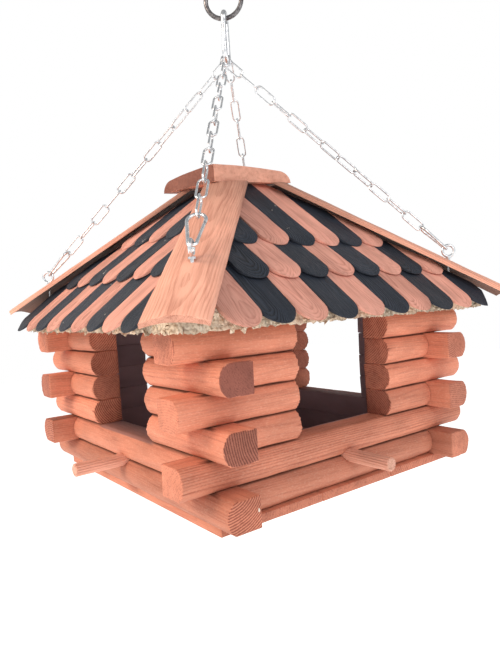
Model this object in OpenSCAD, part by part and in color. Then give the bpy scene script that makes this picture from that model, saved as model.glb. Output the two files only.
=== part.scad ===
// Hanging bird feeder built as a small log cabin: D-section logs laid butt and pass on a
// boarded floor, four corner piers round the open feeding room, a hipped roof of
// round-ended shingles under hip covers and a cap, and four chains gathered in a snap hook.
// Millimetres, Z up. The origin is the inside top of the hanging ring. The front wall faces -Y.

/* [Log walls] */
// Clear width of the feeding room between the flat inner faces of the logs, both ways
room_width = 254; // [226:1:300]
// Height of one log course
log_height = 26; // [22:1:30]
// Depth of a log from its flat inner face to the crown of its rounded outer face
log_depth = 32; // [28:1:40]
// How far the rounded outer face of a log bulges beyond its top and bottom edges
log_bulge = 7.5; // [5:0.5:10]
// How far a log that passes a corner runs on beyond the wall it crosses
log_overhang = 23; // [12:1:30]
// Width of the opening in the middle of each wall
opening_width = 120; // [90:1:150]
// Whole log courses below the openings
sill_courses = 2; // [2:1:3]
// Short log courses beside the openings
pier_courses = 4; // [3:1:6]

/* [Floor] */
// Thickness of the floor boards
board_thickness = 8; // [6:0.5:14]
// How far the front and back edges of the floor stand in from the crowns of the logs
board_inset = 8.5; // [0:0.5:14]
// Width of the front floor board; the other two share the rest
front_board_width = 110.5; // [90:0.5:140]
// Gap between neighbouring floor boards
board_gap = 0.4; // [0.2:0.1:1.5]

/* [Perches] */
// Diameter of a perch dowel
perch_diameter = 12.5; // [8:0.5:16]
// How far a perch stands out of the wall
perch_length = 47; // [30:1:80]
// How deep a perch is let into the joint between the two lowest courses
perch_socket = 26; // [12:1:30]
// Space all round a perch in its socket
perch_fit = 0.15; // [0.1:0.05:0.4]

/* [Roof] */
// Slope of the roof above the level, in degrees
roof_pitch = 38.5; // [34:0.5:42]
// How far the lower edge of a roof panel stands out beyond the crowns of the logs
eave_overhang = 35; // [30:1:50]
// How far the eave edge hangs below the top of the pier logs
eave_drop = 1; // [0:0.5:8]
// Thickness of the particle board roof panels
panel_thickness = 10; // [8:0.5:14]
// Gap at each mitred hip between a roof panel and the hip line
mitre_gap = 0.3; // [0.1:0.1:1]
// How much is cut off the right corner of the roof, measured along each eave
right_corner_cut = 25; // [10:1:50]
// The same at the back corner
back_corner_cut = 34; // [10:1:50]
// The same at the left corner
left_corner_cut = 43; // [10:1:50]

/* [Shingles] */
// Spacing of the shingles along a row
shingle_pitch = 34; // [28:0.1:40]
// Gap between neighbouring shingles
shingle_gap = 0.6; // [0.3:0.1:2]
// Thickness of a shingle
shingle_thickness = 3.5; // [2.5:0.5:5]
// How far the lowest shingles reach past the panel edge, measured level
shingle_overhang = 14.5; // [8:0.5:24]
// Level distance between the tips of one row and the next on the front and the back
front_row_step = 49.5; // [40:0.5:54]
// The same on the right and the left
right_row_step = 39.5; // [36:0.5:54]
// Level distance by which a row runs up under the row above
row_lap = 16; // [10:1:20]
// Level distance from a hip line to the trimmed edge of the shingles
hip_trim = 8; // [6:0.5:12]
// Least distance of the lowest row's last shingle from the corner of its tips
corner_space = 48; // [40:1:60]
// How much further out than the panels the shingles run at the cut corners of the roof
cut_overhang = 5; // [0:1:12]

/* [Shingle colours] */
// Place along the eave of a black shingle in the lowest row of the front and the back
front_low_black = -1; // [-34:1:34]
// The same in their middle row
front_middle_black = 32; // [-34:1:34]
// The same in their top row
front_top_black = -26; // [-34:1:34]
// Place of a black shingle in the lowest row of the right and left sides
right_low_black = 22; // [-34:1:34]
// The same in their middle row
right_middle_black = 28; // [-34:1:34]
// The same in their top row
right_top_black = -17; // [-34:1:34]

/* [Hip covers and cap] */
// Width of a hip cover at its upper end
cover_top_width = 45; // [38:1:52]
// Width of a hip cover at its lower end
cover_foot_width = 47; // [42:1:60]
// Thickness of a hip cover along its crown
cover_thickness = 5.5; // [4:0.5:8]
// Radius of the rounded top of a hip cover
cover_radius = 55; // [48:1:70]
// Radius of the hollowed underside of a hip cover
cover_hollow_radius = 70; // [62:1:90]
// How far the near hip cover runs on past the square corner of the panels, along the hip
near_cover_overhang = 22; // [-20:1:40]
// The same for the right hip cover
right_cover_overhang = 11; // [-20:1:40]
// The same for the back hip cover
back_cover_overhang = 3; // [-20:1:40]
// The same for the left hip cover, which stops short of that corner
left_cover_overhang = -9; // [-20:1:40]
// Half width of the flat across the peak on which the cap lies
cap_seat = 22.5; // [18:0.5:30]
// How far the cap leans down towards the near corner, in degrees
cap_lean = 5.4; // [0:0.1:7]
// How far the cap lies off the middle of the roof, towards the left corner
cap_shift = 9; // [0:0.5:12]
// Side of the square cap
cap_width = 103; // [90:1:112]
// Height of the cap along its crown
cap_height = 17; // [14:0.5:24]
// Radius of the rounded shoulders of the cap
cap_shoulder = 13; // [8:0.5:13.5]
// Radius of the gentle arch of the cap
cap_arch = 420; // [320:10:600]

/* [Chains] */
// Distance of the near and back screw eyes in from the eaves, along X and along Y
eye_inset = 29; // [24:1:60]
// Wire diameter of a screw eye
eye_wire = 3; // [2.5:0.5:3.5]
// Inside diameter of a screw eye
eye_inside = 9; // [8:0.5:12]
// Length of the screw below the crown of the hip cover
eye_screw = 24; // [16:1:30]
// Wire diameter of a chain link
link_wire = 2; // [1.8:0.1:2.4]
// Inside length of a chain link
link_inside_length = 24; // [21:0.5:27]
// Inside width of a chain link
link_inside_width = 6.8; // [6.8:0.1:8]
// Number of links in each chain, an even number
link_count = 12; // [12:2:16]
// Slack between two parts of the hanging set that bear on each other
bearing_gap = 0.15; // [0.1:0.05:0.3]

/* [Snap hooks and ring] */
// Overall length of a small snap hook, between screw eye and chain
small_hook_length = 40; // [34:1:50]
// Wire diameter of a small snap hook
small_hook_wire = 3; // [2.5:0.5:3.5]
// Overall width of a small snap hook across its upper bend
small_hook_width = 18; // [15:0.5:20]
// Inside radius of the narrow lower bend of a small snap hook
small_hook_foot = 1.8; // [1.8:0.1:3]
// Overall length of the top snap hook
top_hook_length = 60; // [56:1:80]
// Wire diameter of the top snap hook
top_hook_wire = 6; // [5:0.5:6]
// Overall width of the top snap hook across its lower bend
top_hook_width = 28; // [27:0.5:34]
// Inside radius of the upper bend of the top snap hook
top_hook_head = 5; // [4:0.5:8]
// Outside diameter of the hanging ring
ring_diameter = 45; // [42:1:60]
// Wire diameter of the hanging ring
ring_wire = 5; // [4:0.5:6]

/* [Hidden] */

$fn = 64;

// Turn of each side about Z, from the front side
front = 0;
right = 90;
back = 180;
left = 270;

// Log section and walls
inner = room_width / 2;
outer = inner + log_depth;
log_radius = (pow(log_height / 2, 2) + pow(log_bulge, 2)) / (2 * log_bulge);
edge_depth = log_depth - log_bulge;
log_reach = outer + log_overhang;
eave_reach = outer + eave_overhang;
eye_place = eave_reach - eye_inset;
wall_height = (sill_courses + pier_courses) * log_height;

// Roof planes: heights above the underside of the lowest logs
pitch_tan = tan(roof_pitch);
soffit_peak = wall_height - eave_drop + eave_reach * pitch_tan;
panel_rise = panel_thickness / cos(roof_pitch);
roof_peak = soffit_peak + panel_rise;
// Space between the panels and the planed tops of the top logs, measured upright
roof_seat = 0.1;

// Shingle rows 0 to 2, counted from the eave: level distances of their tips and upper ends,
// and how far the rows below lift their tips off the panel
shingle_width = shingle_pitch - shingle_gap;
top_tuck = 3;
row_clearance = 0.2;
function fronts(turn) = turn == front || turn == back;
function tip(turn, row) = eave_reach + shingle_overhang
  - row * (fronts(turn) ? front_row_step : right_row_step);
function head(turn, row) = row == 2 ? cap_seat - top_tuck : tip(turn, row + 1) - row_lap;
function prop(turn, row) = shingle_thickness * (tip(turn, row) - head(turn, row))
  / (head(turn, row - 1) - head(turn, row));
function lift(turn, row) = row == 0 ? 0 : row == 1 ? prop(turn, row)
  : max(prop(turn, row), shingle_thickness + prop(turn, 1)
    * (tip(turn, 2) - head(turn, 1)) / (tip(turn, 1) - head(turn, 1))) + row_clearance;
function black_place(turn, row) = fronts(turn)
  ? [front_low_black, front_middle_black, front_top_black][row]
  : [right_low_black, right_middle_black, right_top_black][row];
// Farthest place along the eave at which a row still has a shingle, and more places than
// any row has on either side of its middle
function last_place(turn, row) = tip(turn, row) - (row == 0 ? corner_space : shingle_pitch);
most_places = 12;

// Hips: slope of the hip line, fall of each roof plane across it, and the height of the
// hip cover above the panels so that it rests on the trimmed shingles
hip_slope = atan(pitch_tan / sqrt(2));
hip_fall = atan(sin(hip_slope));
highest_lift = max([for (turn = [front, right], row = [1, 2]) lift(turn, row)]);
shingle_top = (shingle_thickness + highest_lift) / cos(hip_fall);
cover_seat = 0.3;
cover_lift = shingle_top - hip_trim / sqrt(2) * tan(hip_fall) + cover_seat
  + (cover_hollow_radius - sqrt(pow(cover_hollow_radius, 2) - pow(hip_trim, 2) / 2));
cover_crown = cover_lift + cover_thickness;
crown_peak = roof_peak + cover_crown / cos(hip_slope);
corner_foot = eave_reach * sqrt(2) / cos(hip_slope);
cap_level = roof_peak - cap_seat * pitch_tan;
cap_gap = 0.3;
// The hip covers start under the cap, where their heads are still clear of one another
head_room = 8;
cover_head = (cover_top_width / 2 + head_room) / cos(hip_slope);

// Hanging set
link_radius = link_inside_width / 2 + link_wire / 2;
link_step = link_inside_length - 0.1;
link_half = link_inside_length / 2 + link_wire / 2;
eye_radius = (eye_inside + eye_wire) / 2;
small_bend = small_hook_width / 2 - small_hook_wire;
small_span = small_hook_length - small_bend - small_hook_foot - 2 * small_hook_wire;
top_bend = top_hook_width / 2 - top_hook_wire;
top_span = top_hook_length - top_bend - top_hook_head - 2 * top_hook_wire;
eye_stand = eye_radius + eye_wire / 2 + 0.7;
eye_level = crown_peak - eye_place * pitch_tan + eye_stand
  + eye_wire * tan(hip_slope) + 0.2;
// From the eye to the middle of the bend of a small hook, then to the first link's middle
hook_start = eye_inside / 2 - bearing_gap + small_hook_foot;
chain_start = hook_start + small_span + small_bend - link_wire / 2 - bearing_gap + link_half;
chain_run = (link_count - 1) * link_step;
// Near and back chains bear inside the bend of the top hook, 45 degrees up its sides
near_line = chain_start + chain_run + link_half + top_bend - link_wire / 2 - bearing_gap;
bend_level = eye_level + sqrt(pow(near_line, 2) - 2 * pow(eye_place, 2));
// Left and right chains bear over the bottom of the bend
side_line = chain_start + chain_run + link_half - top_hook_wire / 2 - link_wire / 2
  - bearing_gap;
wire_level = bend_level - top_bend - top_hook_wire / 2;
side_offset = link_wire / 2 + 0.5;
// Where the side chains' eyes stand so that the same chain reaches the hook
q_a = 2 + pitch_tan * pitch_tan;
q_b = 2 * pitch_tan * (wire_level - eye_level - eye_place * pitch_tan);
q_c = pow(wire_level - eye_level - eye_place * pitch_tan, 2) + pow(side_offset, 2)
  - pow(side_line, 2);
side_eye_place = (-q_b + sqrt(q_b * q_b - 4 * q_a * q_c)) / (2 * q_a);
side_eye_level = eye_level + (eye_place - side_eye_place) * pitch_tan;
ring_centre = bend_level + top_span + top_hook_head - ring_wire - bearing_gap
  + ring_diameter / 2;
ring_inner_top = ring_centre + ring_diameter / 2 - ring_wire;

log_colour = [0.78, 0.45, 0.33];
pale_colour = [0.86, 0.62, 0.52];
black_colour = [0.20, 0.22, 0.26];
board_colour = [0.82, 0.74, 0.60];
steel_colour = [0.75, 0.76, 0.78];

// Everything is drawn above the underside of the lowest logs, then hung below the ring
module hang() {
  translate([0, 0, -ring_inner_top]) children();
}

module side(turn) {
  hang() rotate([0, 0, turn]) children();
}

// ---- Logs ----

// One log along X from x0 to x1, flat face inward, its underside at the given course
module log(x0, x1, course) {
  translate([x0, -inner, course * log_height]) {
    translate([0, -edge_depth, 0]) cube([x1 - x0, edge_depth, log_height]);
    intersection() {
      translate([0, log_radius - log_depth, log_height / 2])
        rotate([0, 90, 0]) cylinder(r = log_radius, h = x1 - x0);
      translate([0, -log_depth - 1, 0])
        cube([x1 - x0, log_bulge + 1, log_height]);
    }
  }
}

// Courses are counted from the floor; on the front and back walls the even ones pass
function passes(turn, course) = (turn == front || turn == back)
  ? course % 2 == 0 : course % 2 == 1;

// The socket of a perch, drilled half into each of the two lowest courses
module perch_bore(extra) {
  translate([0, -outer + perch_socket, log_height]) rotate([90, 0, 0])
    cylinder(d = perch_diameter + 2 * extra, h = perch_socket + 1);
}

// The pair of whole logs of a low course that pass the corners, or the pair that butt
module whole_logs(course, through) {
  reach = through ? log_reach : inner;
  color(log_colour) for (turn = [front, right, back, left])
    if (passes(turn, course) == through) side(turn) difference() {
      log(-reach, reach, course);
      perch_bore(perch_fit);
    }
}

// The short logs on both sides of an opening, those that pass the corner or those that butt
module pier_logs(turn, through) {
  reach = through ? log_reach : inner;
  color(log_colour) side(turn)
    for (course = [sill_courses : sill_courses + pier_courses - 1])
      if (passes(turn, course) == through) {
        log(opening_width / 2, reach, course);
        log(-reach, -opening_width / 2, course);
      }
}

// The top course carries the roof: its top is planed to the slope of the panels
module top_logs(turns, reach) {
  course = sill_courses + pier_courses;
  slope_top = soffit_peak - inner * pitch_tan - wall_height;
  color(log_colour) for (turn = turns) side(turn) difference() {
    union() {
      log(-reach, reach, course);
      translate([-reach, -inner - edge_depth, wall_height])
        cube([2 * reach, edge_depth, slope_top + 10]);
    }
    roof_space();
  }
}

// All that lies above planes just under the four panels
module roof_space() {
  far = 3 * eave_reach;
  for (turn = [front, right, back, left])
    rotate([0, 0, turn]) translate([0, 0, soffit_peak - roof_seat])
      rotate([roof_pitch, 0, 0]) translate([-far, -far, 0])
        cube([2 * far, far + 200, far]);
}

// ---- Floor and perches ----

module floor_board(y0, y1) {
  color(log_colour) hang() translate([-outer, y0, -board_thickness])
    cube([2 * outer, y1 - y0, board_thickness]);
}

module perches() {
  color(log_colour) for (turn = [front, right, back, left]) side(turn)
    translate([0, -outer - perch_length, log_height]) rotate([-90, 0, 0])
      cylinder(d = perch_diameter, h = perch_length + perch_socket);
}

// ---- Roof ----

// The upright wedge over one side of the roof, trimmed back from both hip planes
module sector(trim, reach) {
  translate([0, 0, -50]) linear_extrude(height = roof_peak + 150)
    polygon([[-0.01, -trim], [0.01, -trim],
      [reach, -reach - trim], [-reach, -reach - trim]]);
}

// Puts children drawn down the slope (X) and along the eave (Y) on top of a panel
module on_slope() {
  translate([0, 0, roof_peak]) rotate([0, 0, -90]) rotate([0, roof_pitch, 0]) children();
}

// All that lies outside the cuts across three corners of the roof, drawn a little further
// out for the shingles
module beyond_corners(further) {
  far = 2 * eave_reach;
  cuts = [right_corner_cut, back_corner_cut, left_corner_cut];
  for (i = [0 : 2]) rotate([0, 0, 45 + 90 * i])
    translate([(far - cuts[i] + further) / sqrt(2), -far, 0]) cube([far, 2 * far, far]);
}

// All that lies above the underside of the cap, which leans towards the near corner
module above_cap(gap) {
  translate([0, 0, cap_level - gap]) rotate([0, 0, 45]) rotate([cap_lean, 0, 0])
    translate([-eave_reach, -eave_reach, 0]) cube([2 * eave_reach, 2 * eave_reach, 100]);
}

module roof_panel(turn) {
  color(board_colour) side(turn) difference() {
    intersection() {
      on_slope() translate([0, -2 * eave_reach, -panel_thickness])
        cube([2 * eave_reach, 4 * eave_reach, panel_thickness]);
      sector(mitre_gap * sqrt(2), 2 * eave_reach);
      translate([-eave_reach, -eave_reach, 0])
        cube([2 * eave_reach, eave_reach, roof_peak + 50]);
    }
    rotate([0, 0, -turn]) {
      eye_places() eye_bore();
      beyond_corners(0);
      above_cap(cap_gap);
    }
  }
}

// One shingle: its head against the panel, its round tip lifted by the row below
module shingle(head, tip, lift) {
  length = (tip - head) / cos(roof_pitch);
  translate([head / cos(roof_pitch), 0, 0]) rotate([0, -asin(lift / length), 0]) {
    translate([0, -shingle_width / 2, 0])
      cube([length - shingle_width / 2, shingle_width, shingle_thickness]);
    translate([length - shingle_width / 2, 0, 0])
      cylinder(d = shingle_width, h = shingle_thickness);
  }
}

// The black or the pale shingles of one row; the colours alternate along it
module shingle_row(turn, row, black) {
  for (i = [-most_places : most_places]) {
    place = black_place(turn, row) + i * shingle_pitch;
    if (abs(i) % 2 == (black ? 0 : 1) && abs(place) < last_place(turn, row))
      translate([0, place, 0]) shingle(head(turn, row), tip(turn, row), lift(turn, row));
  }
}

module shingles(turn, black) {
  color(black ? black_colour : pale_colour) side(turn) difference() {
    intersection() {
      on_slope() for (row = [0 : 2]) shingle_row(turn, row, black);
      sector(hip_trim, 2 * eave_reach);
    }
    rotate([0, 0, -turn]) {
      beyond_corners(cut_overhang);
      above_cap(cap_gap);
    }
  }
}

// ---- Hip covers and cap ----

// Puts children drawn down the hip (X) and across it (Y) on the hip line between the panels
module on_hip(turn) {
  hang() translate([0, 0, roof_peak]) rotate([0, 0, turn - 45])
    rotate([0, hip_slope, 0]) children();
}

module hip_cover(turn, overhang) {
  foot = corner_foot + overhang;
  color(pale_colour) difference() {
    on_hip(turn) intersection() {
      difference() {
        translate([0, 0, cover_crown - cover_radius]) rotate([0, 90, 0])
          cylinder(r = cover_radius, h = foot, $fn = 96);
        translate([-1, 0, cover_lift - cover_hollow_radius]) rotate([0, 90, 0])
          cylinder(r = cover_hollow_radius, h = foot + 2, $fn = 96);
      }
      translate([0, 0, -20]) linear_extrude(height = 60)
        polygon([[cover_head, -cover_top_width / 2], [foot, -cover_foot_width / 2],
          [foot, cover_foot_width / 2], [cover_head, cover_top_width / 2]]);
    }
    hang() {
      eye_places() eye_bore();
      above_cap(cap_gap);
    }
  }
}

// The cap's grain runs from the near corner to the back corner, arched across
module roof_cap() {
  half = cap_width / 2;
  wide = cap_width / sqrt(2);
  flank = wide - cap_shoulder;
  color(pale_colour) hang() translate([0, 0, cap_level]) rotate([0, 0, 45])
    rotate([cap_lean, 0, 0]) translate([-cap_shift, 0, 0]) intersection() {
      rotate([0, 0, -45]) translate([-half, -half, 0])
        cube([cap_width, cap_width, cap_height]);
      union() {
        translate([-flank, -wide, 0]) cube([2 * flank, 2 * wide, cap_height]);
        translate([-wide, -wide, 0])
          cube([2 * wide, 2 * wide, cap_height - cap_shoulder]);
        for (s = [-1, 1]) translate([s * flank, wide, cap_height - cap_shoulder])
          rotate([90, 0, 0]) cylinder(r = cap_shoulder, h = 2 * wide);
      }
      translate([0, wide, cap_height - cap_arch])
        rotate([90, 0, 0]) cylinder(r = cap_arch, h = 2 * wide, $fn = 128);
    }
}

// ---- Hanging set ----

// Places children at the four screw eyes, X pointing away from the middle of the roof
module eye_places() {
  for (s = [0, 1]) rotate([0, 0, -45 + 180 * s])
    translate([eye_place * sqrt(2), 0, eye_level]) children();
  for (s = [0, 1]) rotate([0, 0, 45 + 180 * s])
    translate([side_eye_place * sqrt(2), 0, side_eye_level]) children();
}

module eye_bore() {
  translate([0, 0, -eye_stand - eye_screw - 0.5])
    cylinder(d = eye_wire + 0.3, h = eye_screw + 20);
}

module screw_eye() {
  rotate([90, 0, 0]) rotate_extrude() translate([eye_radius, 0]) circle(d = eye_wire);
  translate([0, 0, -eye_stand - eye_screw])
    cylinder(d = eye_wire, h = eye_screw + eye_wire);
  translate([0, 0, -eye_stand]) cylinder(d = 2 * eye_wire, h = 0.7 + eye_wire / 3);
}

module screw_eyes() {
  color(steel_colour) hang() eye_places() screw_eye();
}

// Part of a wire ring in the XY plane, from +X on
module bend(radius, wire, sweep) {
  rotate_extrude(angle = sweep) translate([radius, 0]) circle(d = wire);
}

// A link along X in the XY plane, its middle at the origin
module link() {
  straight = link_half - link_radius;
  for (s = [0, 180]) rotate([0, 0, s]) {
    translate([straight, 0, 0]) rotate([0, 0, -90]) bend(link_radius, link_wire, 180);
    translate([-straight, link_radius, 0]) rotate([0, 90, 0])
      cylinder(d = link_wire, h = 2 * straight);
  }
}

// A pear-shaped snap hook along X in the XY plane, from the middle of its lower bend, given
// the inside radii of both bends; the gate has a hinge gap below and a nose gap above. The
// straight stretches are drawn a hair thinner than the bends and run a little into them
module snap_hook(lower, upper, wire, span) {
  low = lower + wire / 2;
  high = upper + wire / 2;
  flare = asin((high - low) / span);
  length = span * cos(flare);
  stub = length * 0.12;
  gap = 0.3;
  thin = 0.98 * wire;
  into = 0.2;
  rotate([0, 0, 90 + flare]) bend(low, wire, 180 - 2 * flare);
  translate([span, 0, 0]) rotate([0, 0, -90 - flare]) bend(high, wire, 180 + 2 * flare);
  translate([-low * sin(flare), low * cos(flare), 0]) rotate([0, 90, flare])
    translate([0, 0, -into]) cylinder(d = thin, h = length + 2 * into);
  translate([-low * sin(flare), -low * cos(flare), 0]) rotate([0, 90, -flare]) {
    translate([0, 0, -into]) cylinder(d = thin, h = stub + into);
    translate([0, 0, length - stub]) cylinder(d = thin, h = stub + into);
    translate([0, 0, stub + gap]) cylinder(d = wire * 0.84, h = length - 2 * stub - 2 * gap);
  }
}

// Steepness of the chains above the level
near_rise = asin((bend_level - eye_level) / near_line);
side_level_run = sqrt(2) * side_eye_place;
side_rise = atan((wire_level - side_eye_level) / side_level_run);
side_veer = atan(side_offset / side_level_run);

// Puts children, drawn up the chain along X, at the eye of one hip; number 0 is the near hip
module up_chain(number) {
  near = number % 2 == 0;
  place = near ? eye_place : side_eye_place;
  level = near ? eye_level : side_eye_level;
  rise = near ? near_rise : side_rise;
  veer = near ? 0 : side_veer;
  hang() rotate([0, 0, -45 + 90 * number]) translate([place * sqrt(2), 0, level])
    rotate([0, 0, 180 - veer]) rotate([0, -rise, 0]) children();
}

// The first link stands upright in its hook; near and back chains end lying across the top
// hook's wire, side chains carry a quarter turn of twist to do the same
module chain(number) {
  twist = number % 2 == 0 ? 0 : 90 / (link_count - 1);
  color(steel_colour) up_chain(number)
    for (i = [0 : link_count - 1])
      translate([chain_start + i * link_step, 0, 0])
        rotate([90 + 90 * i + twist * i, 0, 0]) link();
}

module small_snap_hooks() {
  color(steel_colour) for (number = [0 : 3]) up_chain(number)
    translate([hook_start, 0, 0]) snap_hook(small_hook_foot, small_bend, small_hook_wire,
      small_span);
}

module top_snap_hook() {
  color(steel_colour) hang() rotate([0, 0, -45]) translate([0, 0, bend_level])
    rotate([90, 0, 0]) rotate([0, 0, 90])
      snap_hook(top_bend, top_hook_head, top_hook_wire, top_span);
}

module hanging_ring() {
  color(steel_colour) hang() rotate([0, 0, 45]) translate([0, 0, ring_centre])
    rotate([90, 0, 0]) rotate_extrude($fn = 96)
      translate([(ring_diameter - ring_wire) / 2, 0]) circle(d = ring_wire);
}

// Floor board edges, from the front
board_0 = -outer + board_inset;
board_1 = board_0 + front_board_width;
board_2 = (board_1 - board_0) / 2;

whole_logs(0, true);  // bottom_through_logs
whole_logs(0, false);  // bottom_butt_logs
whole_logs(1, true);  // second_through_logs
whole_logs(1, false);  // second_butt_logs
pier_logs(front, true);  // front_pier_through_logs
pier_logs(right, true);  // right_pier_through_logs
pier_logs(back, true);  // back_pier_through_logs
pier_logs(left, true);  // left_pier_through_logs
pier_logs(front, false);  // front_pier_butt_logs
pier_logs(right, false);  // right_pier_butt_logs
pier_logs(back, false);  // back_pier_butt_logs
pier_logs(left, false);  // left_pier_butt_logs
top_logs([front, back], outer - log_bulge);  // front_and_back_top_logs
top_logs([right, left], inner);  // right_and_left_top_logs
floor_board(board_0, board_1);  // front_floor_board
floor_board(board_1 + board_gap, board_2);  // middle_floor_board
floor_board(board_2 + board_gap, -board_0);  // back_floor_board
perches();
roof_panel(front);  // front_roof_panel
roof_panel(right);  // right_roof_panel
roof_panel(back);  // back_roof_panel
roof_panel(left);  // left_roof_panel
shingles(front, false);  // front_pale_shingles
shingles(right, false);  // right_pale_shingles
shingles(back, false);  // back_pale_shingles
shingles(left, false);  // left_pale_shingles
shingles(front, true);  // front_black_shingles
shingles(right, true);  // right_black_shingles
shingles(back, true);  // back_black_shingles
shingles(left, true);  // left_black_shingles
hip_cover(front, near_cover_overhang);  // near_hip_cover
hip_cover(right, right_cover_overhang);  // right_hip_cover
hip_cover(back, back_cover_overhang);  // back_hip_cover
hip_cover(left, left_cover_overhang);  // left_hip_cover
roof_cap();
chain(0);  // near_chain
chain(1);  // right_chain
chain(2);  // back_chain
chain(3);  // left_chain
screw_eyes();
small_snap_hooks();
top_snap_hook();
hanging_ring();
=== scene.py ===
"""Looks of a hanging log cabin bird feeder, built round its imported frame.

The feeder is a small cabin of half-round logs laid butt and pass, with a hipped shingle
roof. Every part of solid wood carries its own grain: an attribute holds its place in the
tree it was cut from, so end grain, cathedrals and sanded tips all follow from one wood.
"""

import logging
import math
import random
from collections.abc import Callable, Iterable
from dataclasses import dataclass, field
from enum import Enum

import bmesh
import bpy
from mathutils import Matrix, Vector, noise


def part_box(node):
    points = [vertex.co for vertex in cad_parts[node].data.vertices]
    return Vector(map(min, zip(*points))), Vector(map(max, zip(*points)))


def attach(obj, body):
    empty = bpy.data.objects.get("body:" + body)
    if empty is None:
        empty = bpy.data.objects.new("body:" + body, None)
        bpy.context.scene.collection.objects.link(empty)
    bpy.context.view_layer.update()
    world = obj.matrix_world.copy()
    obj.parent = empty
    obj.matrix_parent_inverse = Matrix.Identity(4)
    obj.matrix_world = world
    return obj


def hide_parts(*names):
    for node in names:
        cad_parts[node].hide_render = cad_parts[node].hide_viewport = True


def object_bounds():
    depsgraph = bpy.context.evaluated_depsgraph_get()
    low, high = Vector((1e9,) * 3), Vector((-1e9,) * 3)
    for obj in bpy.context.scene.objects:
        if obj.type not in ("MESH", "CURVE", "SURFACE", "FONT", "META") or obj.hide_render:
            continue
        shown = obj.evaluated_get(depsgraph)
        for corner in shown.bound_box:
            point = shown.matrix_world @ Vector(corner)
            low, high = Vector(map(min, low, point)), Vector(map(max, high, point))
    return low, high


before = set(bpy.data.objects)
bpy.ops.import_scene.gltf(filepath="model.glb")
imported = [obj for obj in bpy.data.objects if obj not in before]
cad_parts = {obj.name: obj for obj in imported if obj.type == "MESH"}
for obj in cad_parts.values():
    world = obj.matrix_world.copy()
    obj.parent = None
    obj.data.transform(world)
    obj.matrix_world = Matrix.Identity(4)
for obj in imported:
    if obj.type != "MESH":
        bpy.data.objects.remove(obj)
CAD_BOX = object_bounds()

LOG = logging.getLogger("feeder")
MM = 0.001
SAW = 1e-6  # tolerance of a cut
SMOOTH_BELOW = 38  # degrees between two faces, below which they shade as one surface
PALE_END = 0.2  # the attribute end on a pale sawn end; a soaked one has 1, a face 0

Node, Socket, Tree = bpy.types.Node, bpy.types.NodeSocket, bpy.types.NodeTree
Material, Piece = bpy.types.Material, bpy.types.Object
Pair = tuple[float, float]
Normals = list[Vector]
Test = Callable[[Vector, Normals], float]


class Side(Enum):
    """The four sides of the cabin and the turn about Z that each takes from the front."""

    FRONT = 0
    RIGHT = 90
    BACK = 180
    LEFT = 270


class Hip(Enum):
    """The four hips of the roof and the turn about Z that each takes from the near one."""

    NEAR = 0
    RIGHT = 90
    BACK = 180
    LEFT = 270


class Cells(Enum):
    """Noise in the wood: cells per metre along the trunk and across it, and octaves."""

    WANDER = (7, 38, 3)  # 140 by 26 mm
    STREAK = (16, 260, 3)  # 60 by 4 mm
    BLOTCH = (22, 55, 4)  # 45 by 18 mm
    FIBRE = (45, 1100, 2)  # 22 by 0.9 mm: real fibres are finer, but would not show
    TORN = (420, 1000, 1)  # 2.4 by 1 mm: coarse for the same reason


# ---- Small tools ----


def turned(degrees: float, axis: str) -> Matrix:
    """A 4x4 rotation by degrees about "X", "Y" or "Z"."""
    return Matrix.Rotation(math.radians(degrees), 4, axis)


def moved(x: float, y: float, z: float) -> Matrix:
    """A 4x4 translation by x, y and z in metres."""
    return Matrix.Translation((x, y, z))


def colour(code: str) -> tuple[float, float, float, float]:
    """Turns an sRGB hex code into a linear colour.

    Args:
        code: Six hex digits, such as "d98c66".

    Returns:
        Linear red, green, blue and an alpha of 1.
    """
    channels = (int(code[i : i + 2], 16) / 255 for i in (0, 2, 4))
    linear = [c / 12.92 if c <= 0.04045 else ((c + 0.055) / 1.055) ** 2.4 for c in channels]
    return (linear[0], linear[1], linear[2], 1.0)


def feed(node: Node, inputs: Iterable[object] | dict[str, object]) -> None:
    """Gives a node its inputs.

    Args:
        node: The node.
        inputs: Values for its live sockets in their order, or by name. A socket is linked,
            a node is linked by its first live output, and text is a colour in sRGB hex.
    """
    if isinstance(inputs, dict):
        pairs = [(node.inputs[name], value) for name, value in inputs.items()]
    else:
        pairs = zip([s for s in node.inputs if s.enabled], inputs)
    for socket, value in pairs:
        if isinstance(value, Node):
            value = next(s for s in value.outputs if s.enabled)
        if isinstance(value, Socket):
            node.id_data.links.new(value, socket)
        else:
            socket.default_value = colour(value) if isinstance(value, str) else value


def add(
    tree: Tree, kind: str, inputs: Iterable[object] | dict[str, object] = (), **settings: object
) -> Node:
    """Adds one node with its settings, input values and links.

    Args:
        tree: Tree to add to.
        kind: Node type after "ShaderNode", such as "Math".
        inputs: Its inputs, as feed takes them.
        **settings: Properties of the node.

    Returns:
        The new node.
    """
    node = tree.nodes.new("ShaderNode" + kind)
    for name, value in settings.items():
        setattr(node, name, value)
    feed(node, inputs)
    return node


def new_material(name: str) -> tuple[Material, Tree, Node]:
    """Makes a material that has only its Principled shader.

    Args:
        name: Name of the material.

    Returns:
        The material, its tree and its Principled shader.
    """
    material = bpy.data.materials.new(name)
    material.use_nodes = True
    return material, material.node_tree, material.node_tree.nodes["Principled BSDF"]


def whole_piece(name: str, shape: bmesh.types.BMesh, material: Material) -> Piece:
    """Makes an object of a finished shape, which is freed.

    Args:
        name: Name of the object.
        shape: The shape in its place.
        material: Its material.

    Returns:
        The object, linked to the scene.
    """
    mesh = bpy.data.meshes.new(name)
    shape.to_mesh(mesh)
    shape.free()
    mesh.materials.append(material)
    piece = bpy.data.objects.new(name, mesh)
    bpy.context.scene.collection.objects.link(piece)
    return piece


# ---- Finishes ----


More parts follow.
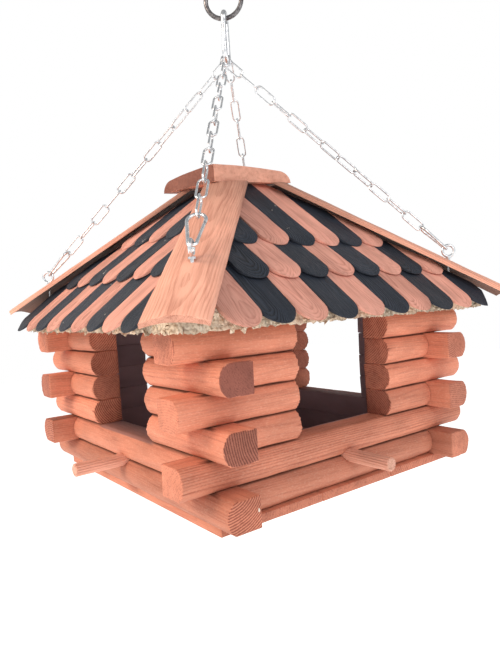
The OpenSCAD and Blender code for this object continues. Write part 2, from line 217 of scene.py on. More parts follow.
@dataclass(frozen=True)
class StainedWood:
    """Softwood under a thin stain that leaves the growth rings in sight.

    The stain soaks deeper into some sawn ends than into others, and the planed or brushed
    surface keeps the hard late wood a little proud.
    """

    name: str
    early: str
    late: str
    end: str
    # Colour of the painted shade inside the room and in hollows
    inside: str
    ring: float = 2.1 * MM
    ring_depth: float = 0.3
    end_depth: float = 0.9
    drift: float = 1.6
    blotch_depth: float = 0.13
    relief: float = 0.3 * MM
    roughness: float = 0.66
    soaked_line: str = "5e342b"
    fibres: str | None = None
    speck: str | None = None
    speck_size: float = 0.12

    def noise(self, tree: Tree, wood: Socket, cells: Cells) -> Node:
        """Noise stretched along the trunk.

        Args:
            tree: Tree to draw it in.
            wood: Place in the trunk.
            cells: Which noise.

        Returns:
            A node that gives about 0.5.
        """
        along, across, octaves = cells.value
        place = add(tree, "VectorMath", (wood, (along, across, across)), operation="MULTIPLY")
        return add(tree, "TexNoise", (place, 1, octaves))

    def rings(self, tree: Tree, wood: Socket) -> Node:
        """Growth rings: distance from the pith, wandering slowly along the trunk.

        Args:
            tree: Tree to draw them in.
            wood: Place in the trunk.

        Returns:
            A node that gives 0 in the early wood and rises to 1 in the late wood.
        """
        across = add(tree, "VectorMath", (wood, (0, 1, 1)), operation="MULTIPLY")
        pith = add(tree, "VectorMath", (across,), operation="LENGTH")
        years = add(tree, "Math", (pith, self.ring), operation="DIVIDE")
        wander = self.noise(tree, wood, Cells.WANDER)
        drift = add(tree, "Math", (wander, self.drift, years), operation="MULTIPLY_ADD")
        year = add(tree, "Math", (drift,), operation="FRACT")
        return add(tree, "MapRange", (year, 0.35, 0.95), interpolation_type="SMOOTHSTEP")

    def flecked(self, tree: Tree, wood: Socket, base: Node) -> Node:
        """Strews flecks a millimetre or two across where the surface was knocked or knotty.

        Args:
            tree: Tree to draw them in.
            wood: Place in the trunk.
            base: Colour without them.

        Returns:
            Colour with them.
        """
        flecks = add(tree, "TexVoronoi", (wood, 150))
        rare = add(tree, "TexNoise", (wood, 45, 1))
        size = add(tree, "MapRange", (rare, 0.6, 0.8, 0.0, self.speck_size))
        hit = add(tree, "Math", (flecks, size), operation="LESS_THAN")
        return add(tree, "Mix", (hit, base, self.speck), data_type="RGBA")

    def raised(self, tree: Tree, wood: Socket, end: Socket, base: Node) -> Node:
        """Torn fibres on the faces, drawn pale as a painted highlight where they catch the light.

        Args:
            tree: Tree to draw them in.
            wood: Place in the trunk.
            end: Above 0 on sawn ends, which have none.
            base: Colour without them.

        Returns:
            Colour with them.
        """
        lit = add(tree, "MapRange", (self.noise(tree, wood, Cells.TORN), 0.5, 0.75, 0.0, 0.3))
        face = add(tree, "MapRange", (end, 0.0, 0.1, 1.0, 0.0))
        share = add(tree, "Math", (lit, face), operation="MULTIPLY")
        return add(tree, "Mix", (share, base, self.fibres), data_type="RGBA")

    def material(self) -> Material:
        """Builds the material.

        Returns:
            A material that reads the attributes wood, tone, figure and end, and the share of
            painted shade.
        """
        material, tree, shader = new_material(self.name)
        wood = add(tree, "Attribute", attribute_name="wood").outputs["Vector"]
        tone, figure, end, inside = (
            add(tree, "Attribute", attribute_name=name).outputs["Fac"]
            for name in ("tone", "figure", "end", "inside")
        )
        late = self.rings(tree, wood)
        fibre, streak, blotch = (
            self.noise(tree, wood, cells) for cells in (Cells.FIBRE, Cells.STREAK, Cells.BLOTCH)
        )

        # Rings show more on a sawn end, and its cut fibres speckle it
        sawn = add(tree, "MapRange", (end, 0.05, PALE_END, self.ring_depth, self.end_depth))
        drawn = add(tree, "Math", (sawn, figure), operation="MULTIPLY")
        lines = add(tree, "Math", (late, drawn), operation="MULTIPLY")
        streaked = add(tree, "MapRange", (streak, 0.3, 0.7, -0.2, 0.24))
        speckle = add(tree, "MapRange", (end, 0.05, PALE_END, 0.65, 1.7))
        centred = add(tree, "Math", (fibre, 0.5), operation="SUBTRACT")
        speckled = add(tree, "Math", (centred, speckle, streaked), operation="MULTIPLY_ADD")
        depth = add(tree, "Math", (lines, speckled), operation="ADD", use_clamp=True)

        # Colour: soaked ends, fibres' painted highlight, painted shade of the room, then tone and
        # blotches
        soaked = add(tree, "MapRange", (end, PALE_END, 1.0, 0.0, 0.9))
        base = add(tree, "Mix", (soaked, self.early, self.end), data_type="RGBA")
        line = add(tree, "Mix", (soaked, self.late, self.soaked_line), data_type="RGBA")
        grain = add(tree, "Mix", (depth, base, line), data_type="RGBA")
        # Pale raised fibres: a painted highlight on the faces
        if self.fibres:
            grain = self.raised(tree, wood, end, grain)
        # Painted shade: the dark colour laid over the grain in the room and in hollows
        shaded = add(tree, "Mix", (inside, grain, self.inside), data_type="RGBA")
        least, most = 1 - self.blotch_depth, 1 + self.blotch_depth
        cloudy = add(tree, "MapRange", (blotch, 0.3, 0.7, least, most))
        # The tone carries the painted shade of seams, sills and the lowest courses
        toned = add(tree, "Math", (cloudy, tone), operation="MULTIPLY")
        final = add(tree, "HueSaturation", {"Value": toned, "Color": shaded})
        if self.speck:
            final = self.flecked(tree, wood, final)

        # Relief: late wood stands proud and the fibres are torn a little
        torn = add(tree, "Math", (fibre, 0.7, lines), operation="MULTIPLY_ADD")
        bump = add(tree, "Bump", {"Height": torn, "Distance": self.relief, "Strength": 0.8})
        smooth, matt = self.roughness - 0.08, self.roughness + 0.12
        rough = add(tree, "MapRange", (fibre, 0.3, 0.7, smooth, matt))
        feed(shader, {"Base Color": final, "Normal": bump, "Roughness": rough,
                      "Specular IOR Level": 0.3})
        return material


@dataclass(frozen=True)
class ParticleBoard:
    """Raw particle board: pressed wood flakes with dark pits between them."""

    name: str = "raw particle board"
    flakes: tuple[str, str, str] = ("eedfca", "d6c0a6", "ac8f75")
    pit: str = "7d6350"
    flake: float = 3.2 * MM
    bend: float = 4 * MM

    def material(self) -> Material:
        """Builds the material.

        Returns:
            A material on object coordinates.
        """
        material, tree, shader = new_material(self.name)
        place = add(tree, "TexCoord").outputs["Object"]
        warp = add(tree, "TexNoise", (place, 90, 2)).outputs["Color"]
        bent = add(tree, "VectorMath", (warp, (self.bend,) * 3, place), operation="MULTIPLY_ADD")
        cells = add(tree, "TexVoronoi", (bent, 1 / self.flake))
        pale, dim, brown = self.flakes
        chips = add(tree, "Mix", (cells.outputs["Color"], pale, dim), data_type="RGBA")
        fine = add(tree, "TexNoise", (place, 420, 3))
        bark = add(tree, "MapRange", (fine, 0.5, 0.72))
        flaked = add(tree, "Mix", (bark, chips, brown), data_type="RGBA")
        gap = add(tree, "MapRange", (cells, 0.5, 0.85, 0.0, 0.6))
        pitted = add(tree, "Mix", (gap, flaked, self.pit), data_type="RGBA")
        height = add(tree, "Math", (cells, fine), operation="SUBTRACT")
        bump = add(tree, "Bump", {"Height": height, "Distance": 1.0 * MM, "Strength": 0.9},
                   invert=True)
        feed(shader, {"Base Color": pitted, "Normal": bump, "Roughness": 0.9,
                      "Specular IOR Level": 0.2})
        return material


@dataclass(frozen=True)
class PlatedWire:
    """Round steel wire, bright zinc plated or dulled by weather.

    A duller film lies on it in patches, and drawing the wire left it finely uneven, which
    softens what it mirrors.
    """

    name: str
    bright: str
    dull: str
    roughness: float
    spangle: float = 3.5 * MM

    def material(self) -> Material:
        """Builds the material.

        Returns:
            A material on object coordinates.
        """
        material, tree, shader = new_material(self.name)
        place = add(tree, "TexCoord").outputs["Object"]
        patch = add(tree, "TexNoise", (place, 1 / self.spangle, 3))
        film = add(tree, "MapRange", (patch, 0.42, 0.6))
        metal = add(tree, "Mix", (film, self.bright, self.dull), data_type="RGBA")
        smooth, matt = self.roughness - 0.06, self.roughness + 0.14
        rough = add(tree, "MapRange", (patch, 0.3, 0.7, smooth, matt))
        drawn = add(tree, "TexNoise", (place, 900, 2))
        bump = add(tree, "Bump", {"Height": drawn, "Distance": 0.08 * MM, "Strength": 0.5})
        feed(shader, {"Base Color": metal, "Normal": bump, "Roughness": rough, "Metallic": 1.0})
        return material


# The fourth colour of each wood is its painted shade, for the room and for hollows
# Planed logs: wide rings, raised fibres with a painted highlight, and knots the thin stain leaves
# in sight
STAINED_LOG = StainedWood("stained half-round spruce", "dd8f73", "9a523f", "8a5146", "9c8288",
                          fibres="f0bda4", speck="6d3a2b", speck_size=0.1)
# Boards as the saw left them: duller, with wider rings
FLOOR_BOARD = StainedWood("stained sawn spruce", "d68a6e", "985040", "874c40", "9c8288",
                          ring=2.6 * MM, end_depth=0.4)
# Turned dowel: close, faint rings
PERCH_DOWEL = StainedWood("stained beech dowel", "ebb099", "b56f57", "eab8a0", "86605c",
                          ring=1.3 * MM, ring_depth=0.25, end_depth=0.3)
# Shingles: sanded across the rings, which stand proud; drawn wider than real so they show
PALE_SHINGLE = StainedWood("salmon stained spruce", "e6a794", "a85f50", "b06652", "86605c",
                           ring=0.95 * MM, ring_depth=0.4, end_depth=0.5, drift=1.9,
                           relief=0.7 * MM, blotch_depth=0.16)
BLACK_SHINGLE = StainedWood("black stained spruce", "2e3541", "12161d", "252a32", "14161a",
                            ring=0.95 * MM, ring_depth=0.7, end_depth=0.6, drift=1.9,
                            relief=0.8 * MM, roughness=0.5, speck="c4bfb6", speck_size=0.3)
# Hip covers and cap: brushed, so that the soft early wood lies deeper
RIDGE_WOOD = StainedWood("brushed salmon spruce", "e9ad95", "a5604c", "7d4a3c", "86605c",
                         ring=0.85 * MM, ring_depth=0.3, end_depth=0.35, drift=2.4,
                         blotch_depth=0.12, relief=0.4 * MM)


# ---- Wooden parts ----


@dataclass
class Grain:
    """Where in its tree a part was cut, which settles every line of its grain.

    Attributes:
        rng: Random source of the part.
        near: Least distance of the pith from the part's own axis.
        far: Greatest distance.
        lean: Greatest slope of the trunk against the part, in degrees.
        tone: Greatest change of brightness from part to part.
        angle: Least and greatest turn of the pith about the part, in degrees from +Y.
        figure: Least and greatest strength of the growth rings.
        face: Share of that strength on the planed faces.
    """

    rng: random.Random
    near: float = 22 * MM
    far: float = 75 * MM
    lean: float = 2.5
    tone: float = 0.06
    angle: Pair = (0, 360)
    figure: Pair = (0.5, 1.3)
    face: float = 1.0

    def frame(self) -> tuple[Matrix, float, float]:
        """Draws one part's place in the trunk.

        Returns:
            The matrix from the part's own space (X along it) to the trunk's, its tone and
            the strength of its rings.
        """
        draw = self.rng.uniform
        angle = math.radians(draw(*self.angle) + 180)
        reach = draw(self.near, self.far)
        # Metres apart along the trunk, so that no two parts share their figure
        place = moved(draw(-40, 40), reach * math.cos(angle), reach * math.sin(angle))
        lean = turned(draw(-self.lean, self.lean), "Y") @ turned(draw(-self.lean, self.lean), "Z")
        return place @ lean, 1 + draw(-self.tone, self.tone), draw(*self.figure)


def on_end(flat: Normals) -> bool:
    """Whether a vertex lies on a sawn end, by the normals round it."""
    return any(abs(n.x) > 0.9 for n in flat)


def on_top(flat: Normals) -> bool:
    """Whether a vertex lies wholly on an upper face, by the normals round it."""
    return all(n.z > 0.7 for n in flat)


def sawn(dark: float) -> Test:
    """A test that finds both sawn ends of a part, gone dark by a share of 0 to 1."""
    return lambda _, flat: (PALE_END + (1 - PALE_END) * dark) * on_end(flat)


class Part:
    """One wooden part while it is being made, with X along its grain."""

    def __init__(self, outline: list[Pair], length: float) -> None:
        """Extrudes an outline drawn across the grain.

        Args:
            outline: Corners (y, z), counter-clockwise as seen from +X.
            length: Length along X.
        """
        self.bm = bmesh.new()
        face = self.bm.faces.new([self.bm.verts.new((0, y, z)) for y, z in outline])
        grown = bmesh.ops.extrude_face_region(self.bm, geom=[face])["geom"]
        tips = [g for g in grown if isinstance(g, bmesh.types.BMVert)]
        bmesh.ops.translate(self.bm, vec=(length, 0, 0), verts=tips)
        bmesh.ops.recalc_face_normals(self.bm, faces=self.bm.faces)

    def divide(self, point: Vector, normal: Vector, saw_off: bool = False) -> list:
        """Divides the faces along a plane.

        Args:
            point: A point of the plane.
            normal: Its normal.
            saw_off: Whether what lies beyond the plane falls off.

        Returns:
            The vertices and edges in the plane.
        """
        geom = [*self.bm.verts, *self.bm.edges, *self.bm.faces]
        return bmesh.ops.bisect_plane(
            self.bm, geom=geom, dist=SAW, plane_co=point, plane_no=normal, clear_outer=saw_off
        )["geom_cut"]

    def cut(self, point: Vector, normal: Vector) -> None:
        """Saws off what lies beyond a plane and closes the cut.

        Args:
            point: A point of the plane.
            normal: Direction of what falls off.
        """
        made = self.divide(point, normal, saw_off=True)
        rim = [g for g in made if isinstance(g, bmesh.types.BMEdge)]
        if rim:
            bmesh.ops.edgeloop_fill(self.bm, edges=rim)
        bmesh.ops.recalc_face_normals(self.bm, faces=self.bm.faces)

    def work(
        self, eased: float, loops: float, uneven: Pair, seed: float, sharper: float = 24,
        both_ways: bool = False, segments: int = 2,
    ) -> None:
        """Works the surface: eases its edges, then leaves it uneven.

        Args:
            eased: Width of an eased edge.
            loops: Greatest distance between two edge loops.
            uneven: Depth and width of the unevenness.
            seed: Place in the noise.
            sharper: Least angle between the faces at an edge that is eased, in degrees.
            both_ways: Whether edge loops run along the part as well as round it.
            segments: Steps across an eased edge.
        """
        limit = math.radians(sharper)
        edges = [
            e for e in self.bm.edges if len(e.link_faces) == 2 and e.calc_face_angle(0) > limit
        ]
        bmesh.ops.bevel(
            self.bm, geom=edges, offset=eased, offset_type="OFFSET", segments=segments,
            profile=0.5, affect="EDGES", material=-1, clamp_overlap=True,
        )
        self.rings(loops)
        if both_ways:
            self.rings(loops, Vector((0, 1, 0)))
        self.roughen(*uneven, seed)

    def rings(self, step: float, axis: Vector = Vector((1, 0, 0))) -> None:
        """Cuts edge loops across an axis so that the part can be uneven along it.

        Args:
            step: Greatest distance between two loops.
            axis: Axis to cut across.
        """
        places = [v.co.dot(axis) for v in self.bm.verts]
        low, high = min(places), max(places)
        count = max(1, round((high - low) / step))
        for i in range(1, count):
            self.divide(axis * (low + (high - low) * i / count), axis)

    def roughen(self, depth: float, size: float, seed: float) -> None:
        """Moves the surface in and out by smooth noise, as hand work leaves it.

        Args:
            depth: Greatest move.
            size: Width of one unevenness.
            seed: Place in the noise.
        """
        self.bm.normal_update()
        shift = Vector((seed, seed * 1.7, seed * 0.3))
        moves = [v.normal * depth * noise.noise(v.co / size + shift) for v in self.bm.verts]
        for vert, move in zip(self.bm.verts, moves):
            vert.co += move

    def fray(self, low: float, high: float, seed: float, tooth: float = 1.7 * MM) -> None:
        """Leaves the rims of both sawn ends uneven, as a coarse saw does.

        Args:
            low: Greatest move along the part at its start.
            high: The same at its far end.
            seed: Place in the noise.
            tooth: Width of one unevenness.
        """
        self.bm.normal_update()
        shift = Vector((seed, 0, 0))
        for vert in self.bm.verts:
            along = [f.normal.x for f in vert.link_faces]
            steep = [abs(x) for x in along]
            if max(steep) > 0.3 and min(steep) < 0.9:
                depth = high if sum(along) > 0 else low
                vert.co.x += depth * noise.noise(vert.co / tooth + shift)

    def grow(
        self, grain: Grain, ends: Test, dark: Test = lambda *_: 0.0, tint: Test = lambda *_: 1.0
    ) -> None:
        """Writes the grain attributes.

        Args:
            grain: Source of the part's place in its tree.
            ends: How far a vertex, given with the normals round it, is a soaked sawn end.
            dark: How far painted shade is laid on it, as in the room and in hollows.
            tint: Share of its own brightness that painted shade and other darkening leave it.
        """
        self.bm.normal_update()
        wood = self.bm.verts.layers.float_vector.new("wood")
        names = ("tone", "figure", "end", "inside")
        layers = [self.bm.verts.layers.float.new(name) for name in names]
        place, tone, figure = grain.frame()
        for vert in self.bm.verts:
            vert[wood] = place @ vert.co
            flat = [f.normal for f in vert.link_faces]
            end = ends(vert.co, flat)
            drawn = figure if end else figure * grain.face
            # The tone takes painted shade from tint; the last value is the share of painted shade
            values = (tone * tint(vert.co, flat), drawn, end, dark(vert.co, flat))
            for layer, value in zip(layers, values):
                vert[layer] = value

    def put(self, matrix: Matrix) -> "Part":
        """Carries the part to its place and returns it."""
        bmesh.ops.transform(self.bm, matrix=matrix, verts=self.bm.verts)
        return self


def arc(centre: Pair, radius: float, start: float, stop: float, steps: int) -> list[Pair]:
    """Points along a circular arc.

    Args:
        centre: Centre of the circle.
        radius: Its radius.
        start: First angle in degrees.
        stop: Last angle in degrees.
        steps: Number of chords.

    Returns:
        steps + 1 points.
    """
    y, z = centre
    angles = [math.radians(start + (stop - start) * i / steps) for i in range(steps + 1)]
    return [(y + radius * math.cos(a), z + radius * math.sin(a)) for a in angles]


def hand_over(
    node: str, parts: list[Part], material: Material, name: str = ""
) -> None:
    """Joins finished parts into the piece that stands for a CAD node.

    Args:
        node: The CAD node.
        parts: Parts in their places, which are freed.
        material: Material of them all.
        name: Name of the piece, where it isn't the node's with _wood.
    """
    whole = bmesh.new()
    for part in parts:
        step = bpy.data.meshes.new("step")
        part.bm.to_mesh(step)
        part.bm.free()
        whole.from_mesh(step)
        bpy.data.meshes.remove(step)
    piece = whole_piece(name or f"{node}_wood", whole, material)
    piece.data.shade_smooth()
    piece.data.set_sharp_from_angle(angle=math.radians(SMOOTH_BELOW))
    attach(piece, "root")
    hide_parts(node)
    LOG.info("%s: %d faces", piece.name, len(piece.data.polygons))


@dataclass(frozen=True)
class EndLook:
    """How the sawn end of one log came out.

    Attributes:
        dark: How far the stain darkened it.
        figure: Strength of its ring lines.
        angle: Where the pith lies, in degrees from the log's inner face.
        face: Strength of the ring lines on the log's round face.
    """

    dark: float
    figure: float
    angle: float
    face: float


@dataclass
class Joinery:
    """Wooden sub-assembly, measured from the underside of the lowest logs."""

    floor: float

    def facing(self, side: Side) -> Matrix:
        """From the front side's place, above the lowest logs, to another side's in the frame."""
        return moved(0, 0, self.floor) @ turned(side.value, "Z")


@dataclass
class Walls(Joinery):
    """Half-round logs laid butt and pass round the room, with an opening in each wall."""

    room: float = 254 * MM
    height: float = 26 * MM
    depth: float = 32 * MM
    bulge: float = 7.5 * MM
    overhang: float = 23 * MM
    opening: float = 120 * MM
    sill_courses: int = 2
    pier_courses: int = 4
    roof_pitch: float = 38.5
    soffit_peak: float = 309.21 * MM
    planed_off: float = 40 * MM
    eased: float = 1.1 * MM
    loops: float = 9 * MM
    wavy: Pair = (0.5 * MM, 28 * MM)
    sawn_rough: Pair = (0.22 * MM, 4 * MM)
    torn: float = 2.0 * MM
    crisp: float = 0.5 * MM
    crumb_place: Pair = (-129.7 * MM, 14.9 * MM)
    crumb_size: tuple[float, float, float] = (0.5 * MM, 0.9 * MM, 1.6 * MM)
    # Brightness of the two lowest courses under painted shade
    painted_low_shade: Pair = (0.7, 0.87)
    # Painted shade in the seams: its brightness, and the width and depth of its band
    painted_seam_shade: float = 0.32
    seam_width: float = 0.9 * MM
    seam_depth: float = 3 * MM
    room_skin: float = 2.4 * MM
    near_pith: Pair = (45 * MM, 60 * MM)
    play: float = 4
    end_darks: tuple[float, ...] = (0.0, 0.15, 0.35, 0.55)
    # Sills whose tops carry a painted shadow
    sills_with_painted_shadow: tuple[Side, ...] = (Side.FRONT, Side.LEFT, Side.BACK)
    near_ends: dict[tuple[Side, int], EndLook] = field(
        default_factory=lambda: {
            (Side.FRONT, 0): EndLook(0.15, 1.5, 118, 0.5),
            (Side.FRONT, 2): EndLook(0.75, 1.3, 40, 0.45),
            (Side.FRONT, 4): EndLook(1.0, 0.2, 70, 0.8),
            (Side.RIGHT, 1): EndLook(0.0, 0.2, 200, 1.5),
            (Side.RIGHT, 3): EndLook(0.1, 0.3, 250, 0.5),
            (Side.RIGHT, 5): EndLook(0.25, 0.7, 5, 0.5),
        }
    )

    def __post_init__(self) -> None:
        """Works out what follows from the sizes."""
        self.inner = self.room / 2
        self.outer = self.inner + self.depth
        self.reach = self.outer + self.overhang
        self.edge = self.depth - self.bulge
        self.last_sill = self.sill_courses - 1
        self.top_course = self.sill_courses + self.pier_courses
        self.material = STAINED_LOG.material()

    def outline(self, top: float) -> list[Pair]:
        """The half-round section, flat face at y = 0.

        Args:
            top: Extra height of the flat part above the course.

        Returns:
            Corners of the section.
        """
        radius = (self.height**2 / 4 + self.bulge**2) / (2 * self.bulge)
        half = math.degrees(math.asin(self.height / 2 / radius))
        centre = (radius - self.depth, self.height / 2)
        crest = [(0, self.height + top)]
        if top:
            crest.append((-self.edge, self.height + top))
        else:
            crest += [(-self.edge * i / 6, self.height) for i in range(1, 6)]
        base = [(-self.edge * i / 6, 0) for i in range(5, 0, -1)]
        return [(0, 0), *crest, *arc(centre, radius, 180 - half, 180 + half, 24), *base]

    def grain(self, side: Side, course: int, near: bool, rng: random.Random) -> tuple[Grain, float]:
        """Settles how one log was cut and how dark its ends went.

        Args:
            side: Its wall.
            course: Its course.
            near: Whether it shows its end at the near corner.
            rng: Random source.

        Returns:
            The grain and the darkness of the ends.
        """
        look = self.near_ends.get((side, course)) if near else None
        if look is None:
            cut = Grain(rng, tone=0.1, figure=(0.4, 1.2), face=0.7)
            return cut, rng.choice(self.end_darks)
        angle = (look.angle - self.play, look.angle + self.play)
        cut = Grain(rng, *self.near_pith, angle=angle, figure=(look.figure,) * 2,
                    face=look.face / look.figure)
        return cut, look.dark

    def shade(self, spot: Vector, flat: Normals, course: int, side: Side) -> float:
        """How far a log is painted with the room's shade here, or with a sill's painted shadow.

        Args:
            spot: The place: along the wall, inwards from its inner face, above the log's foot.
            flat: Normals of the faces round it.
            course: Course of the log.
            side: Wall of the log.

        Returns:
            0 in the open, 1 in the room.
        """
        if on_end(flat):
            return 0.0
        # Painted shade over the inner faces of the room
        if abs(spot.x) < self.inner and spot.y > -self.room_skin:
            return 1.0
        # A painted shadow on the tops of the sheltered sills, deeper inwards
        sill = course == self.last_sill and abs(spot.x) < self.opening / 2
        if sill and side in self.sills_with_painted_shadow and on_top(flat):
            return 0.5 + 0.4 * max(0.0, 1 + spot.y / self.edge)
        return 0.0

    def painted_shade_tint(self, spot: Vector, flat: Normals, course: int, side: Side) -> float:
        """How bright a place is painted: painted shade in seams, on sheltered sills and low down.

        Args:
            spot: The place: along the wall, inwards from its inner face, above the log's foot.
            flat: Normals of the faces round it.
            course: Course of the log.
            side: Wall of the log.

        Returns:
            Share of the stain's own brightness.
        """
        if on_end(flat):
            return 1.0
        # Painted shade along the seams between stacked logs, where they are covered
        high = spot.z > self.height / 2
        bare = (course == self.last_sill and high) or (course == self.top_course and not high)
        covered = abs(spot.x) < self.outer and not (bare and abs(spot.x) < self.opening / 2)
        in_painted_seam = min(abs(spot.z), abs(self.height - spot.z)) < self.seam_width
        if covered and in_painted_seam and spot.y < -self.edge + self.seam_depth:
            return self.painted_seam_shade
        if course > self.last_sill:
            return 1.0
        # A painted shadow on the sheltered sill tops, deeper inwards
        if course == self.last_sill and side in self.sills_with_painted_shadow and on_top(flat):
            inward = max(0.0, 1 + spot.y / self.edge)
            return 0.7 * self.painted_low_shade[course] * (1 - 0.5 * inward)
        # Painted shade over the two lowest courses
        return self.painted_low_shade[course]

    def log(
        self, start: float, stop: float, course: int, side: Side, seed: int, top: float = 0.0
    ) -> Part:
        """One log in its place.

        Args:
            start: Left end, seen from outside.
            stop: Right end.
            course: Course number from the floor.
            side: Its wall.
            seed: Number that settles its grain and unevenness.
            top: Extra height left for a planed top.

        Returns:
            The log.
        """
        part = Part(self.outline(top), stop - start)
        base = moved(start, -self.inner, course * self.height)
        if top:
            part.put(base)
            slope = math.radians(self.roof_pitch)
            peak = Vector((0, 0, self.soffit_peak))
            part.cut(peak, Vector((0, -math.sin(slope), math.cos(slope))))
            if stop > self.inner:
                for s in (-1, 1):
                    part.cut(peak, Vector((s * math.sin(slope), 0, math.cos(slope))))
            part.put(base.inverted())
        part.work(self.eased, self.loops, self.wavy, seed)
        part.roughen(*self.sawn_rough, seed + 50)
        rims = [self.torn if abs(end) < self.inner else self.crisp for end in (start, stop)]
        part.fray(*rims, seed)
        near = stop > self.outer if side is Side.FRONT else start < -self.outer
        grain, dark = self.grain(side, course, near, random.Random(seed))
        along = Vector((start, 0, 0))
        part.grow(
            grain, sawn(dark),
            # Painted shade of the room, then painted shade in seams, on sills and low down
            lambda spot, flat: self.shade(spot + along, flat, course, side),
            lambda spot, flat: self.painted_shade_tint(spot + along, flat, course, side),
        )
        return part.put(self.facing(side) @ base)

    def filler(self) -> None:
        """A crumb of chalky white filler left on the end of the front wall's lowest log."""
        # Dry chalk: pale grit, and no shine
        material, tree, shader = new_material("chalky white filler")
        place = add(tree, "TexCoord").outputs["Object"]
        grit = add(tree, "TexNoise", (place, 2500, 2))
        chalk = add(tree, "Mix", (grit, "fbf3e6", "d9cbb8"), data_type="RGBA")
        feed(shader, {"Base Color": chalk, "Roughness": 0.95})
        crumb = bmesh.new()
        bmesh.ops.create_icosphere(crumb, subdivisions=2, radius=1)
        for vert in crumb.verts:
            vert.co *= 1 + 0.35 * noise.noise(vert.co * 1.3)
        across, up = self.crumb_place
        matrix = moved(self.reach, across, up + self.floor) @ Matrix.Diagonal((*self.crumb_size, 1))
        bmesh.ops.transform(crumb, verts=crumb.verts, matrix=matrix)
        piece = whole_piece("filler_crumb", crumb, material)
        piece.data.shade_smooth()
        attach(piece, "root")

    def kind(self, side: Side, course: int) -> str:
        """Whether a wall's log of that course runs through both corners or butts there."""
        return "through" if (course % 2 == 0) == (side in (Side.FRONT, Side.BACK)) else "butt"

    def group(
        self, node: str, spans: list[tuple[float, float, int, Side, int]], top: float = 0.0
    ) -> None:
        """Makes the logs of one CAD node.

        Args:
            node: The CAD node.
            spans: Start, stop, course, side and seed of each log.
            top: Extra height left for planed tops.
        """
        logs = [self.log(*span, top) for span in spans]
        hand_over(node, logs, self.material)

    def build(self) -> None:
        """Makes every course of logs and the crumb of filler."""
        half = self.opening / 2
        kinds = {"through": self.reach, "butt": self.inner}
        for course, word in enumerate(("bottom", "second")):
            for kind, reach in kinds.items():
                self.group(f"{word}_{kind}_logs", [
                    (-reach, reach, course, side, 10 * course + i)
                    for i, side in enumerate(Side) if self.kind(side, course) == kind
                ])
        for side in Side:
            for kind, reach in kinds.items():
                spans = []
                for course in range(self.sill_courses, self.top_course):
                    if self.kind(side, course) == kind:
                        seed = 100 + side.value + 7 * course
                        spans.append((half, reach, course, side, seed))
                        spans.append((-reach, -half, course, side, seed + 3))
                self.group(f"{side.name.lower()}_pier_{kind}_logs", spans)
        self.filler()
        for node, sides, reach in (
            ("front_and_back_top_logs", (Side.FRONT, Side.BACK), self.outer - self.bulge),
            ("right_and_left_top_logs", (Side.RIGHT, Side.LEFT), self.inner),
        ):
            spans = [(-reach, reach, self.top_course, side, 700 + side.value) for side in sides]
            self.group(node, spans, self.planed_off)


@dataclass
class Floor(Joinery):
    """Three sawn boards under the walls and four dowel perches let into the logs."""

    inner: float = 127 * MM
    outer: float = 159 * MM
    perch: float = 12.5 * MM
    perch_length: float = 47 * MM
    perch_socket: float = 26 * MM
    flute: float = 0.6 * MM
    flutes: int = 16
    course: float = 26 * MM

    def board(self, node: str, seed: int) -> Part:
        """One board, its upper face painted with the room's shade where it lies in the room.

        Args:
            node: CAD node of the board.
            seed: Number that settles its grain.

        Returns:
            The board in its place.
        """
        low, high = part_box(node)
        size = high - low
        part = Part([(0, 0), (size.y, 0), (size.y, size.z), (0, size.z)], size.x)
        part.work(1.0 * MM, 14 * MM, (0.1 * MM, 22 * MM), seed, both_ways=True)
        part.fray(0.5 * MM, 0.5 * MM, seed)
        part.grow(
            Grain(random.Random(seed), near=30 * MM, far=60 * MM), sawn(0.25),
            # Painted shade of the room on the upper face inside the walls
            lambda spot, flat: on_top(flat)
            and max(abs(spot.x + low.x), abs(spot.y + low.y)) < self.inner,
        )
        return part.put(Matrix.Translation(low))

    def dowel(self, side: Side) -> Part:
        """The perch of one wall: dowel rod with fine flutes and painted shade in their troughs.

        Args:
            side: The wall.

        Returns:
            The perch in its place.
        """
        radius, turn = self.perch / 2, 360 / self.flutes
        crests = arc((0, 0), radius, 0, 360 - turn, self.flutes - 1)
        troughs = arc((0, 0), radius - self.flute, turn / 2, 360 - turn / 2, self.flutes - 1)
        outline = [point for pair in zip(crests, troughs) for point in pair]
        part = Part(outline, self.perch_length + self.perch_socket)
        part.work(0.9 * MM, 8 * MM, (0.2 * MM, 9 * MM), 61 + side.value, 70, segments=1)
        deep = radius - self.flute * 0.6
        part.grow(
            Grain(random.Random(71 + side.value), near=4 * MM, far=14 * MM), sawn(0.6),
            # Painted shade in the flute troughs
            lambda spot, _: 0.15 * (math.hypot(spot.y, spot.z) < deep),
        )
        place = moved(0, -self.outer - self.perch_length, self.course)
        return part.put(self.facing(side) @ place @ turned(90, "Z"))

    def build(self) -> None:
        """Makes the boards and the perches."""
        boards = FLOOR_BOARD.material()
        for i, word in enumerate(("front", "middle", "back")):
            node = f"{word}_floor_board"
            hand_over(node, [self.board(node, 31 + i)], boards)
        dowels = [self.dowel(side) for side in Side]
        hand_over("perches", dowels, PERCH_DOWEL.material(), "perch_dowels")


